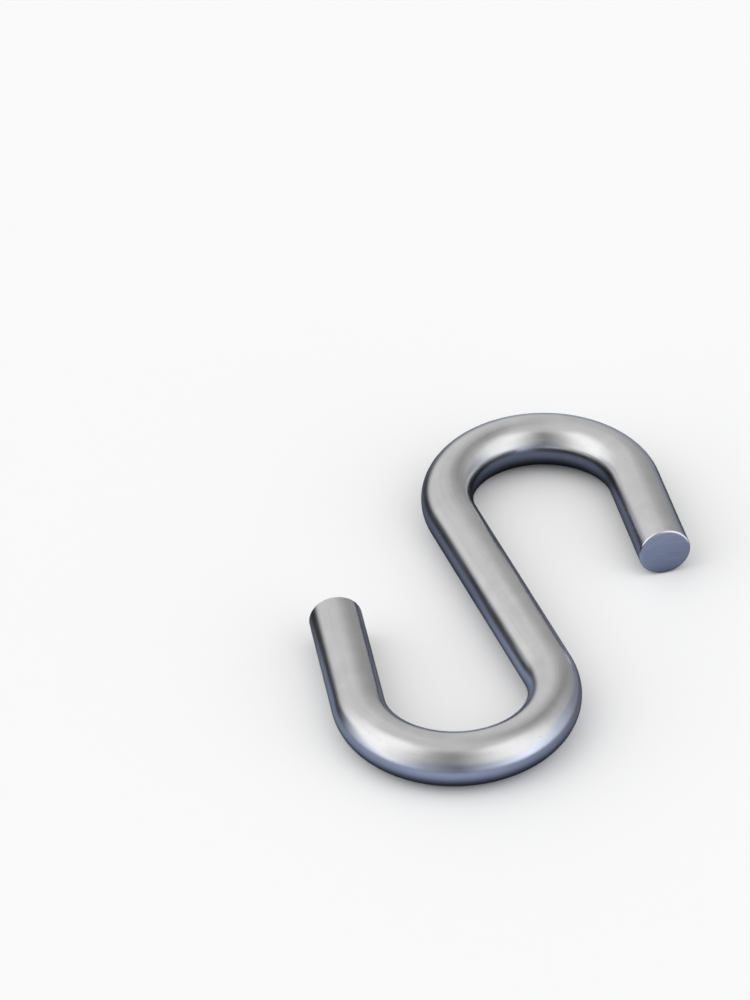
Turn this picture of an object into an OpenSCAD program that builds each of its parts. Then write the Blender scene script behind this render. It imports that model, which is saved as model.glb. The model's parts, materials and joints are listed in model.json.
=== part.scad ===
// S hook bent from one length of round steel wire, lying flat as it comes to rest.
// +Z is square to the plane of the hook and z = 0 is the surface that it lies on.
// +Y runs along the load line, from the centre of the lower eye to that of the upper eye.
// The origin is on that surface, under the middle of the straight shank.

/* [Wire] */
// Diameter of the round wire
wire_d = 6; // [3:0.1:8]
// Width of the edge broken off round each cut end
edge_break = 0.2; // [0.05:0.05:0.6]

/* [Shank] */
// Length of the straight shank between the two bends
shank_len = 29; // [20:0.5:60]

/* [Upper eye] */
// Inside diameter of the upper bend
upper_eye_d = 15.8; // [12:0.1:30]
// Angle that the wire turns through at the upper bend, in degrees
upper_bend_angle = 187.5; // [170:0.5:200]
// Length of the straight arm past the upper bend
upper_arm = 13.4; // [6:0.1:20]

/* [Lower eye] */
// Inside diameter of the lower bend
lower_eye_d = 15.8; // [12:0.1:30]
// Angle that the wire turns through at the lower bend, in degrees
lower_bend_angle = 191; // [170:0.5:200]
// Length of the straight arm past the lower bend
lower_arm = 15.9; // [6:0.1:20]

/* [Hidden] */
$fn = 96;
// Share of full size at which the stretches of wire are joined
join_scale = 0.01;

wire_r = wire_d / 2;
upper_bend_r = upper_eye_d / 2 + wire_r;
lower_bend_r = lower_eye_d / 2 + wire_r;
// Angle from the shank to the load line through the two bend centres
load_angle = atan2(upper_bend_r + lower_bend_r, shank_len);

// Joins its children at a small scale and brings the result back to full size. The rounding
// of a slanted piece's place is then too small to part it from the face that it meets.
module joined() {
    scale(1 / join_scale)
        for (i = [0 : $children - 1])
            scale(join_scale)
                children(i);
}

// Straight wire along +X, centred on its own middle
module shank() {
    rotate([0, 90, 0])
        cylinder(d = wire_d, h = shank_len, center = true);
}

// Bent wire that leaves the origin along +X and turns to the right
module bend(bend_r, angle) {
    translate([0, -bend_r, 0])
        rotate_extrude(angle = angle, start = 90 - angle)
            translate([bend_r, 0])
                circle(d = wire_d);
}

// Straight wire from the origin along +X, cut square, with the edge of the cut broken
module arm(length) {
    rotate([0, 90, 0]) {
        cylinder(d = wire_d, h = length - edge_break);
        translate([0, 0, length - edge_break])
            cylinder(d1 = wire_d, d2 = wire_d - 2 * edge_break, h = edge_break);
    }
}

// Moves a piece from the origin to the lower end of the shank
module at_lower_end() {
    translate([shank_len / 2, 0, 0])
        children();
}

// Moves a piece from the origin to the upper end of the shank
module at_upper_end() {
    rotate([0, 0, 180])
        translate([shank_len / 2, 0, 0])
            children();
}

// Moves a piece from the start of a bend to its far end, turned with the wire
module past_bend(bend_r, angle) {
    translate([0, -bend_r, 0])
        rotate([0, 0, -angle])
            translate([0, bend_r, 0])
                children();
}

// The whole hook, in one piece
module hook() {
    color("silver")
        translate([0, 0, wire_r])
            rotate([0, 0, load_angle - 90])
                joined() {
                    shank();
                    at_lower_end()
                        bend(lower_bend_r, lower_bend_angle);
                    at_lower_end()
                        past_bend(lower_bend_r, lower_bend_angle)
                            arm(lower_arm);
                    at_upper_end()
                        bend(upper_bend_r, upper_bend_angle);
                    at_upper_end()
                        past_bend(upper_bend_r, upper_bend_angle)
                            arm(upper_arm);
                }
}

hook();
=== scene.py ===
import json
import math

import bpy
from mathutils import Matrix, Vector


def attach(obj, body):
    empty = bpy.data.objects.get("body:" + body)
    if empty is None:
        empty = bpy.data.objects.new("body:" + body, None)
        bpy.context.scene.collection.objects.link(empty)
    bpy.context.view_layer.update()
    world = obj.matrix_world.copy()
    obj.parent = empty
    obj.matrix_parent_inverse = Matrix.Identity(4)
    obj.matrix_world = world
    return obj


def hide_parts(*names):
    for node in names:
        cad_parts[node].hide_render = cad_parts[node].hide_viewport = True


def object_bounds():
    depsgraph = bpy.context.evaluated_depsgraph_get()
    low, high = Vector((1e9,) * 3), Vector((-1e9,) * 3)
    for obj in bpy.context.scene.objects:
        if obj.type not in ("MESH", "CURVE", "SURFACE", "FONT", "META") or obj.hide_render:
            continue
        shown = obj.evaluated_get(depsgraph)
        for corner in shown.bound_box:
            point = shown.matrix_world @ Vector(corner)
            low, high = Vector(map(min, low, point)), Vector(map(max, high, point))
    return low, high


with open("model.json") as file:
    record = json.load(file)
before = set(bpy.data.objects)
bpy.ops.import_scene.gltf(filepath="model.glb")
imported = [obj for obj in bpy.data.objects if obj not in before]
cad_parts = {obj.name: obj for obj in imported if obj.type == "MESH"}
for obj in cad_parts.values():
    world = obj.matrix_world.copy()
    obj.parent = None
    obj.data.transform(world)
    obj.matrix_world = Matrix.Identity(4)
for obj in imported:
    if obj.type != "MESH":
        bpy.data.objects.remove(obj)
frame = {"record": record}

# ---- Sizes, in metres ----------------------------------------------------------------------
MM = 0.001
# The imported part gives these
CAD_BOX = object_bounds()
HOOK_LENGTH = CAD_BOX[1].y - CAD_BOX[0].y
MOUNTS = {mount["name"]: mount for mount in frame["record"]["mounts"]}
WIRE_R = MOUNTS["upper_end"]["dims"]["r_mm"] * MM
# The record doesn't give the width of the edge broken off round each cut, so it is repeated
EDGE_BREAK = 0.2 * MM

# How finely the wire is meshed
SIDES = 96
STATION_GAP = 0.6 * MM
EDGE_STEPS = 6
FACE_RINGS = 14

# How worn the steel is where the rounded edge meets the barrel, and how steeply the wear
# falls from the rim of a cut face towards its middle
BARREL_WEAR = 0.6
FACE_WEAR_POWER = 14

# ---- The camera ----------------------------------------------------------------------------
# Azimuth 0 is the side that the hook's lower eye points to, and it grows to the right. The
# camera aims beside the hook, which so comes to lie low and to the right in the frame.
VIEW_AZIMUTH = math.radians(17.64)
VIEW_ELEVATION = math.radians(38.28)
VIEW_ROLL = math.radians(-2.01)
VIEW_DISTANCE = 11.48 * HOOK_LENGTH
AIM = HOOK_LENGTH * Vector((-0.3056, 0.2567, 0.0))
SENSOR_MM = 36.0
LENS_MM = 229.6


def direction(azimuth, elevation):
    """The unit vector towards that azimuth and elevation, in radians."""
    level = math.cos(elevation)
    return Vector((math.sin(azimuth) * level, -math.cos(azimuth) * level, math.sin(elevation)))


# ---- The wire's middle line ----------------------------------------------------------------
def arm(name):
    """The free arm with that mount: its outward heading, and its length from bend to cut."""
    mount = MOUNTS[name]
    x, y, _ = mount["axis"]
    return math.atan2(y, x), mount["dims"]["length_mm"] * MM + EDGE_BREAK


def cut_centre(name):
    """The middle of the cut face at the end of that arm."""
    mount = MOUNTS[name]
    reach = mount["dims"]["length_mm"] * MM / 2 + EDGE_BREAK
    return Vector(mount["pos_m"]) + Vector(mount["axis"]) * reach


def bend_radius(name):
    """The radius of the wire's middle line round that eye."""
    return MOUNTS[name]["dims"]["r_mm"] * MM + WIRE_R


def shank():
    """The straight run between the bends: its heading, towards the lower eye, and its length."""
    load_line = Vector(MOUNTS["lower_eye"]["pos_m"]) - Vector(MOUNTS["upper_eye"]["pos_m"])
    across = bend_radius("upper_eye") + bend_radius("lower_eye")
    length = math.sqrt(load_line.length ** 2 - across ** 2)
    return math.atan2(load_line.y, load_line.x) + math.atan2(across, length), length


def stretches():
    """The wire from its upper cut to its lower one, as (length, turn to the left) pairs."""
    upper_heading, upper_length = arm("upper_end")
    lower_heading, lower_length = arm("lower_end")
    shank_heading, shank_length = shank()
    upper_turn = (shank_heading - upper_heading - math.pi) % math.tau
    lower_turn = (shank_heading - lower_heading) % math.tau
    return [
        (upper_length, 0.0),
        (bend_radius("upper_eye") * upper_turn, upper_turn),
        (shank_length, 0.0),
        (bend_radius("lower_eye") * lower_turn, -lower_turn),
        (lower_length, 0.0),
    ]


def stations():
    """Points along the wire's middle line, as (place, heading, distance from the upper cut)."""
    place = cut_centre("upper_end")
    heading = arm("upper_end")[0] + math.pi
    distance = 0.0
    found = [(place, heading, distance)]
    for length, turn in stretches():
        steps = max(1, round(length / STATION_GAP))
        step, bend = length / steps, turn / steps
        chord = step * math.sin(bend / 2) / (bend / 2) if bend else step
        for _ in range(steps):
            along = heading + bend / 2
            place = place + Vector((math.cos(along), math.sin(along), 0.0)) * chord
            heading += bend
            distance += step
            found.append((place, heading, distance))
    return found


# ---- The wire's mesh -----------------------------------------------------------------------
def end_profile():
    """An end from the middle of its cut face out to the barrel, one ring after another.

    Each is (radius, depth behind the cut, share of cut face, share of worn edge)."""
    face_r = WIRE_R - EDGE_BREAK
    found = []
    for k in range(1, FACE_RINGS + 1):
        share = k / FACE_RINGS
        found.append((face_r * share, 0.0, 1.0, share ** FACE_WEAR_POWER))
    for k in range(1, EDGE_STEPS):
        turn = math.pi / 2 * k / EDGE_STEPS
        radius = face_r + EDGE_BREAK * math.sin(turn)
        found.append((radius, EDGE_BREAK * (1 - math.cos(turn)), 1.0 - k / EDGE_STEPS, 1.0))
    found.append((WIRE_R, EDGE_BREAK, 0.0, BARREL_WEAR))
    found.append((WIRE_R, 2 * EDGE_BREAK, 0.0, 0.0))
    return found


def rings():
    """All rings from the upper cut to the lower one: (station, radius, shift, cut, edge)."""
    line = stations()
    found = [(line[0], *ring) for ring in end_profile()]
    found += [(station, WIRE_R, 0.0, 0.0, 0.0) for station in line[1:-1]]
    for radius, depth, cut, edge in reversed(end_profile()):
        found.append((line[-1], radius, -depth, cut, edge))
    return found


def ring_points(station, radius, shift):
    """A ring's places, and where the same points were in the straight wire before it was bent."""
    place, heading, distance = station
    along = Vector((math.cos(heading), math.sin(heading), 0.0))
    side = Vector((-along.y, along.x, 0.0))
    places, straight = [], []
    for k in range(SIDES):
        angle = math.tau * k / SIDES
        across, up = radius * math.cos(angle), radius * math.sin(angle)
        places.append(place + along * shift + side * across + Vector((0.0, 0.0, up)))
        straight.append((across, up, distance + shift))
    return places, straight


def skin_faces(count):
    """Quads between that many rings, and a fan on each end to the two middles after them."""
    faces = []
    last = (count - 1) * SIDES
    for k in range(SIDES):
        turned = (k + 1) % SIDES
        for first in range(0, last, SIDES):
            faces.append((first + k, first + turned, first + SIDES + turned, first + SIDES + k))
        faces.append((count * SIDES, turned, k))
        faces.append((count * SIDES + 1, last + k, last + turned))
    return faces


def skin_points(skin):
    """Those rings' points and the two middles: places, straight places, cut and edge shares."""
    places, straight, cuts, edges = [], [], [], []
    for station, radius, shift, cut, edge in skin:
        found = ring_points(station, radius, shift)
        places += found[0]
        straight += found[1]
        cuts += [cut] * SIDES
        edges += [edge] * SIDES
    for station in (skin[0][0], skin[-1][0]):
        places.append(station[0])
        straight.append((0.0, 0.0, station[2]))
        cuts.append(1.0)
        edges.append(0.0)
    return places, straight, cuts, edges


def set_numbers(mesh, **values):
    """Gives each point of the mesh a number under each of those names."""
    for name, numbers in values.items():
        layer = mesh.attributes.new(name, "FLOAT", "POINT")
        layer.data.foreach_set("value", numbers)


def add_object(name, data):
    """A new object in the scene, with that mesh or camera."""
    piece = bpy.data.objects.new(name, data)
    bpy.context.scene.collection.objects.link(piece)
    return piece


def build_hook():
    """The wire in one closed skin, with the coordinates that its material reads."""
    skin = rings()
    places, straight, cuts, edges = skin_points(skin)
    mesh = bpy.data.meshes.new("hook_steel")
    mesh.from_pydata(places, [], skin_faces(len(skin)))
    layer = mesh.attributes.new("straight", "FLOAT_VECTOR", "POINT")
    layer.data.foreach_set("vector", [number for point in straight for number in point])
    set_numbers(mesh, cut=cuts, edge=edges)
    mesh.shade_smooth()
    mesh.materials.append(steel())
    return add_object("s_hook", mesh)


# ---- Materials -----------------------------------------------------------------------------
STEEL_DARK = (0.515, 0.515, 0.521, 1.0)
STEEL_LIGHT = (0.595, 0.595, 0.602, 1.0)
# A cut face's colours are bluer than the barrel's: a painted blue-grey reflection
CUT_DARK_PAINTED_BLUE = (0.495, 0.512, 0.558, 1.0)
CUT_LIGHT_PAINTED_BLUE = (0.580, 0.600, 0.655, 1.0)
STEEL_SPECK = (0.40, 0.40, 0.41, 1.0)
STEEL_WORN = (0.66, 0.66, 0.67, 1.0)
FLOOR_COLOUR = (0.97, 0.97, 0.97, 1.0)

# Noise over the straight wire, in metres: how much each axis counts (across, up and along the
# wire), then its scale, detail and roughness. Lines are thin on one axis and long on another.
DIE_LINES = ((1.0, 1.0, 0.025), 5200.0, 3.0, 0.6)
DIE_BANDS = ((1.0, 1.0, 0.08), 1100.0, 2.0, 0.5)
CLOUDS = ((1.0, 1.0, 1.0), 300.0, 3.0, 0.55)
SPECKS = ((1.0, 1.0, 1.0), 3000.0, 1.0, 0.5)
BLADE_LINES = ((0.06, 1.0, 1.0), 5600.0, 2.0, 0.6)

# The parts of the noise's range that are used
SPECK_RANGE = (0.71, 0.78)
TONE_RANGE = (0.36, 0.64)
ROUGH_RANGE = (0.3, 0.7)

# Roughness: from its low to its high, or added to what is there
BARREL_ROUGH = (0.185, 0.255)
CLOUD_ADDS = (-0.015, 0.02)
CUT_ROUGH = (0.32, 0.40)
EDGE_ROUGH = 0.16
SPECK_ADDS = 0.06

# How much of the barrel's tone is lines and not bands, and how much of the whole is clouds
LINES_SHARE = 0.5
CLOUDS_SHARE = 0.5
# How far a speck and a worn edge go to their own colours
SPECK_SHARE = 0.35
WORN_SHARE = 0.8
BUMP_STRENGTH = 0.3
BUMP_HEIGHT = 0.004 * MM


class Nodes:
    """A node tree with short calls to add nodes and link them."""

    def __init__(self, tree):
        self.tree = tree
        tree.nodes.clear()

    def add(self, kind, inputs=None, **settings):
        """Adds a node; inputs are values or other nodes' outputs, by socket name or number."""
        node = self.tree.nodes.new(kind)
        for name, value in settings.items():
            setattr(node, name, value)
        for socket, value in (inputs or {}).items():
            if isinstance(value, bpy.types.NodeSocket):
                self.tree.links.new(value, node.inputs[socket])
            else:
                node.inputs[socket].default_value = value
        return node

    def maths(self, operation, a, b=0.0):
        """One operation on one number or two."""
        return self.add("ShaderNodeMath", {0: a, 1: b}, operation=operation).outputs[0]

    def blend(self, share, a, b):
        """Goes from a to b as share goes from 0 to 1."""
        node = self.add("ShaderNodeMix", {0: share, 2: a, 3: b}, data_type="FLOAT")
        return node.outputs[0]

    def blend_colour(self, share, a, b):
        """Goes from colour a to colour b as share goes from 0 to 1."""
        node = self.add("ShaderNodeMix", {0: share, 6: a, 7: b}, data_type="RGBA")
        return node.outputs[2]

    def ranged(self, value, low, high, out_low=0.0, out_high=1.0, smooth=False):
        """Maps low..high to out_low..out_high, held at both ends."""
        inputs = {0: value, 1: low, 2: high, 3: out_low, 4: out_high}
        kind = "SMOOTHSTEP" if smooth else "LINEAR"
        return self.add("ShaderNodeMapRange", inputs, interpolation_type=kind).outputs[0]

    def stops(self, value, places):
        """A number that goes straight from one (value, number) place to the next."""
        low, high = places[0][0], places[-1][0]
        least = min(number for _, number in places)
        most = max(number for _, number in places)
        node = self.add("ShaderNodeValToRGB", {0: self.ranged(value, low, high)})
        points = node.color_ramp.elements
        for k, (place, number) in enumerate(places):
            at = (place - low) / (high - low)
            share = (number - least) / (most - least)
            point = points[k] if k < 2 else points.new(at)
            point.position = at
            point.color = (share, share, share, 1.0)
        return self.blend(node.outputs[0], least, most)

    def tinted(self, value, tint):
        """The tint's colour, as bright as the value says."""
        parts = [self.maths("MULTIPLY", value, part) for part in tint]
        return self.add("ShaderNodeCombineColor", dict(enumerate(parts))).outputs[0]

    def noise(self, vector, pattern):
        """Fractal noise between 0 and 1, in one of the patterns above."""
        stretch, scale, detail, roughness = pattern
        place = self.add("ShaderNodeMapping", {"Vector": vector, "Scale": stretch}).outputs[0]
        inputs = {"Vector": place, "Scale": scale, "Detail": detail, "Roughness": roughness}
        return self.add("ShaderNodeTexNoise", inputs).outputs["Fac"]

    def attribute(self, name, output="Fac"):
        """A number, or a vector, that the mesh carries under that name."""
        return self.add("ShaderNodeAttribute", attribute_name=name).outputs[output]


def new_material(name):
    """An empty node material."""
    material = bpy.data.materials.new(name)
    material.use_nodes = True
    return material, Nodes(material.node_tree)


def matt(n, colour):
    """A shader with no shine."""
    inputs = {"Base Color": colour, "Roughness": 1.0, "Specular IOR Level": 0.0}
    return n.add("ShaderNodeBsdfPrincipled", inputs).outputs[0]


def steel_colour(n, cut, edge, barrel, blade, specks):
    """The steel's colour: its own tones, bluer on a cut face as a painted reflection, darker in a
    speck and lighter where an edge is worn.
    """
    tone = n.ranged(n.blend(cut, barrel, blade), *TONE_RANGE)
    light = n.blend_colour(cut, STEEL_LIGHT, CUT_LIGHT_PAINTED_BLUE)
    dark = n.blend_colour(cut, STEEL_DARK, CUT_DARK_PAINTED_BLUE)
    colour = n.blend_colour(tone, dark, light)
    colour = n.blend_colour(n.maths("MULTIPLY", specks, SPECK_SHARE), colour, STEEL_SPECK)
    return n.blend_colour(n.maths("MULTIPLY", edge, WORN_SHARE), colour, STEEL_WORN)


def steel_roughness(n, cut, edge, lines, clouds, blade, specks):
    """Satin along the barrel, duller on a cut face and smoother on its worn edge."""
    lined = n.ranged(lines, *ROUGH_RANGE, *BARREL_ROUGH)
    barrel = n.maths("ADD", lined, n.ranged(clouds, *ROUGH_RANGE, *CLOUD_ADDS))
    rough = n.blend(cut, barrel, n.ranged(blade, *ROUGH_RANGE, *CUT_ROUGH))
    rough = n.blend(edge, rough, EDGE_ROUGH)
    return n.maths("ADD", rough, n.maths("MULTIPLY", specks, SPECK_ADDS))


def steel():
    """Satin drawn steel: lines from the die along the wire, and from the blade on a cut face."""
    material, n = new_material("satin_steel")
    straight = n.attribute("straight", "Vector")
    cut, edge = n.attribute("cut"), n.attribute("edge")
    lines, clouds = n.noise(straight, DIE_LINES), n.noise(straight, CLOUDS)
    blade = n.noise(straight, BLADE_LINES)
    specks = n.ranged(n.noise(straight, SPECKS), *SPECK_RANGE)
    drawn = n.blend(LINES_SHARE, n.noise(straight, DIE_BANDS), lines)
    barrel = n.blend(CLOUDS_SHARE, drawn, clouds)
    height = n.blend(cut, n.maths("SUBTRACT", lines, specks), blade)
    bump = {"Strength": BUMP_STRENGTH, "Distance": BUMP_HEIGHT, "Height": height}
    inputs = {
        "Base Color": steel_colour(n, cut, edge, barrel, blade, specks),
        "Metallic": 1.0,
        "Roughness": steel_roughness(n, cut, edge, lines, clouds, blade, specks),
        "Normal": n.add("ShaderNodeBump", bump).outputs[0],
    }
    shader = n.add("ShaderNodeBsdfPrincipled", inputs)
    n.add("ShaderNodeOutputMaterial", {"Surface": shader.outputs[0]})
    return material


def pale_floor():
    """Plain matt white."""
    material, n = new_material("pale_floor")
    n.add("ShaderNodeOutputMaterial", {"Surface": matt(n, FLOOR_COLOUR)})
    return material


# ---- The studio ----------------------------------------------------------------------------
# Azimuths and elevations are in degrees, with azimuth 0 under the camera and growing to the
# right. The walls hold one wide soft box on the left and one on the right, by azimuth.
WALLS = [
    (-180.0, 0.82),
    (-172.0, 0.91),
    (-150.0, 0.94),
    (-125.0, 0.98),
    (-105.0, 1.41),
    (-88.0, 1.68),
    (-70.0, 1.71),
    (-52.0, 1.32),
    (-30.0, 0.66),
    (-5.0, 0.3),
    (15.0, 0.71),
    (30.0, 1.21),
    (45.0, 1.58),
    (62.0, 1.57),
    (85.0, 1.3),
    (110.0, 0.68),
    (145.0, 0.41),
    (180.0, 0.82),
]
# The ceiling, and the elevation from which the walls blend into it
CEILING = 0.85
CEILING_FROM = 59.7
# Below the walls is a bluish bench, light at the feet of the boxes and dark elsewhere
BENCH = [
    (-180.0, 0.41),
    (-150.0, 0.05),
    (-116.0, 0.01),
    (-90.0, 0.85),
    (-60.0, 1.26),
    (-30.0, 0.49),
    (0.0, 0.19),
    (30.0, 0.75),
    (60.0, 1.54),
    (90.0, 0.82),
    (120.0, 0.32),
    (150.0, 0.33),
    (180.0, 0.41),
]
BENCH_TINT = (1.0, 1.09, 1.32)
# The elevation at which the walls start, by azimuth, and how much higher they are fully lit
WALLS_FOOT = [
    (-180.0, -5.9),
    (-140.0, -8.3),
    (-100.0, 2.5),
    (-60.0, -22.7),
    (-20.0, 10.1),
    (20.0, 2.1),
    (60.0, -4.9),
    (100.0, 14.0),
    (140.0, -10.6),
    (180.0, -5.9),
]
WALLS_RISE = 18.0
# The lightness of the bench beside the wire, by mm from its outline, is painted shade: a painted
# shadow, near black where it touches
PAINTED_SHADE_BY_GAP = [
    (-3.0, 0.03),
    (-0.5, 0.065),
    (0.5, 0.18),
    (2.0, 0.38),
    (4.0, 0.47),
    (7.0, 0.42),
    (13.0, 0.2),
]
# The painted shade's blue tint
PAINTED_SHADE_TINT = (1.0, 1.16, 1.68)
# The painted shade is lightest in front of the hook, and on the front side of each stretch of
# wire, as if lit from the front. Each is the azimuth of the lightest side, and how light the
# darkest side is beside it.
PAINTED_LIGHT_BY_PLACE = (14.0, 0.42)
PAINTED_LIGHT_BY_SIDE = (-23.0, 0.24)
# The painted shade is neutral on a stretch's dark side, and has its whole tint on the light side
PAINTED_TINT_BY_SIDE = (0.3, 0.7)
# How many mm from the wire it starts to fade, and ends
BESIDE_SOLID = 5.5
BESIDE_CLEAR = 15.2
# The size of its squares, and how far under the hook it and the floor lie
BESIDE_GRID = 1.0 * MM
BESIDE_DEPTH = 0.02 * MM
FLOOR_DEPTH = 0.05 * MM
# How far the floor goes out, in lengths of the hook
FLOOR_REACH = 60


def studio():
    """The light from every side, which the world gives."""
    world = bpy.data.worlds.new("studio")
    bpy.context.scene.world = world
    world.use_nodes = True
    n = Nodes(world.node_tree)
    heading = n.add("ShaderNodeTexCoord").outputs["Generated"]
    x, y, z = n.add("ShaderNodeSeparateXYZ", {0: heading}).outputs
    share = n.maths("DIVIDE", n.maths("ARCTAN2", x, n.maths("MULTIPLY", y, -1.0)), math.tau)
    # Half a turn is added, so that the tables' azimuth 0 is in the middle of the range
    turn = n.maths("FRACT", n.maths("ADD", share, 0.5 - VIEW_AZIMUTH / math.tau))
    azimuth = n.ranged(turn, 0.0, 1.0, -180.0, 180.0)
    elevation = n.maths("DEGREES", n.maths("ARCSINE", z))
    overhead = n.ranged(z, math.sin(math.radians(CEILING_FROM)), 1.0, smooth=True)
    room = n.blend(overhead, n.stops(azimuth, WALLS), CEILING)
    above_foot = n.maths("SUBTRACT", elevation, n.stops(azimuth, WALLS_FOOT))
    on_wall = n.ranged(above_foot, 0.0, WALLS_RISE, smooth=True)
    light = n.blend_colour(on_wall, n.tinted(n.stops(azimuth, BENCH), BENCH_TINT), room)
    background = n.add("ShaderNodeBackground", {"Color": light})
    n.add("ShaderNodeOutputWorld", {"Surface": background.outputs[0]})


def stage_piece(name, corners, faces, material):
    """A flat piece of the stage."""
    mesh = bpy.data.meshes.new(name)
    mesh.from_pydata(corners, [], faces)
    mesh.materials.append(material)
    piece = add_object(name, mesh)
    return piece


def floor():
    """A wide pale floor under the hook. The steel is given the bench to reflect in its place."""
    reach = FLOOR_REACH * HOOK_LENGTH
    square = ((-1, -1), (1, -1), (1, 1), (-1, 1))
    corners = [(x * reach, y * reach, -FLOOR_DEPTH) for x, y in square]
    piece = stage_piece("floor", corners, [(0, 1, 2, 3)], pale_floor())
    piece.visible_glossy = False


def painted_shade_bench_surface():
    """Matt blue-grey with painted shade: a painted shadow, near black where the wire touches it,
    lighter on the front sides, and clear further out.
    """
    material, n = new_material("painted_shade_bench_surface")
    gap, by_side = n.attribute("gap_mm"), n.attribute("by_side")
    share = n.maths("MULTIPLY", n.attribute("by_place"), by_side)
    # Painted shade: dark by the wire, lighter in front and on each stretch's front side
    light = n.maths("MULTIPLY", n.stops(gap, PAINTED_SHADE_BY_GAP), share)
    tint_share = n.ranged(by_side, *PAINTED_TINT_BY_SIDE)
    painted_shade = n.blend_colour(tint_share, light, n.tinted(light, PAINTED_SHADE_TINT))
    clear = n.add("ShaderNodeBsdfTransparent").outputs[0]
    fade = n.ranged(gap, BESIDE_SOLID, BESIDE_CLEAR, smooth=True)
    mixed = n.add("ShaderNodeMixShader", {0: fade, 1: matt(n, painted_shade), 2: clear})
    n.add("ShaderNodeOutputMaterial", {"Surface": mixed.outputs[0]})
    return material


def painted_light_share(offset, azimuth, least):
    """The painted light's share: 1 where the offset points to that azimuth, and the least where
    it points away from it.
    """
    lightest = direction(VIEW_AZIMUTH + math.radians(azimuth), 0.0)
    along = offset.normalized().dot(lightest)
    return least + (1.0 - least) * (0.5 + 0.5 * along)


def bench_grid(line):
    """A grid round the wire: its low corner, its columns and its rows."""
    margin = 2 * WIRE_R + BESIDE_CLEAR * MM
    low = Vector((min(p.x for p in line) - margin, min(p.y for p in line) - margin, 0.0))
    high = Vector((max(p.x for p in line) + margin, max(p.y for p in line) + margin, 0.0))
    columns = math.ceil((high.x - low.x) / BESIDE_GRID) + 1
    rows = math.ceil((high.y - low.y) / BESIDE_GRID) + 1
    return low, columns, rows


def bench_faces(columns, rows, gaps):
    """The grid's squares, as far out as the bench is seen."""
    faces = []
    for k in range((rows - 1) * columns):
        if k % columns < columns - 1 and gaps[k] < BESIDE_CLEAR:
            faces.append((k, k + 1, k + columns + 1, k + columns))
    return faces


def bench():
    """The patch of bench beside the wire, which only the steel sees: a painted reflection, with
    painted shade by the wire.
    """
    # The middle line stops short, so that the round end of its outline lies on the cut face
    short = math.ceil(WIRE_R / STATION_GAP)
    line = [Vector((place.x, place.y, 0.0)) for place, _, _ in stations()[short:-short]]
    low, columns, rows = bench_grid(line)
    corners, gaps, by_place, by_side = [], [], [], []
    for k in range(rows * columns):
        spot = low + Vector((k % columns, k // columns, 0.0)) * BESIDE_GRID
        offset = min((spot - p for p in line), key=lambda away: away.length_squared)
        corners.append((spot.x, spot.y, -BESIDE_DEPTH))
        gaps.append((offset.length - WIRE_R) / MM)
        # Painted light: lighter in front of the hook and on each stretch's front side
        by_place.append(painted_light_share(spot, *PAINTED_LIGHT_BY_PLACE))
        by_side.append(painted_light_share(offset, *PAINTED_LIGHT_BY_SIDE))
    faces = bench_faces(columns, rows, gaps)
    piece = stage_piece("bench", corners, faces, painted_shade_bench_surface())
    set_numbers(piece.data, gap_mm=gaps, by_place=by_place, by_side=by_side)
    piece.visible_camera = False
    piece.visible_diffuse = False
    piece.visible_shadow = False
    piece.visible_transmission = False


def camera():
    """The camera at the photograph's viewing angle."""
    data = bpy.data.cameras.new("camera")
    data.sensor_width = SENSOR_MM
    data.lens = LENS_MM
    piece = add_object("camera", data)
    back = direction(VIEW_AZIMUTH, VIEW_ELEVATION)
    facing = (-back).to_track_quat("-Z", "Y").to_matrix().to_4x4()
    turn = Matrix.Rotation(VIEW_ROLL, 4, "Z")
    piece.matrix_world = Matrix.Translation(AIM + back * VIEW_DISTANCE) @ facing @ turn
    bpy.context.scene.camera = piece


def main():
    """Builds the piece and the studio round it."""
    bpy.context.scene.view_settings.view_transform = "Standard"
    piece = build_hook()
    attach(piece, "root")
    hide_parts("hook")
    floor()
    bench()
    studio()
    camera()


main()
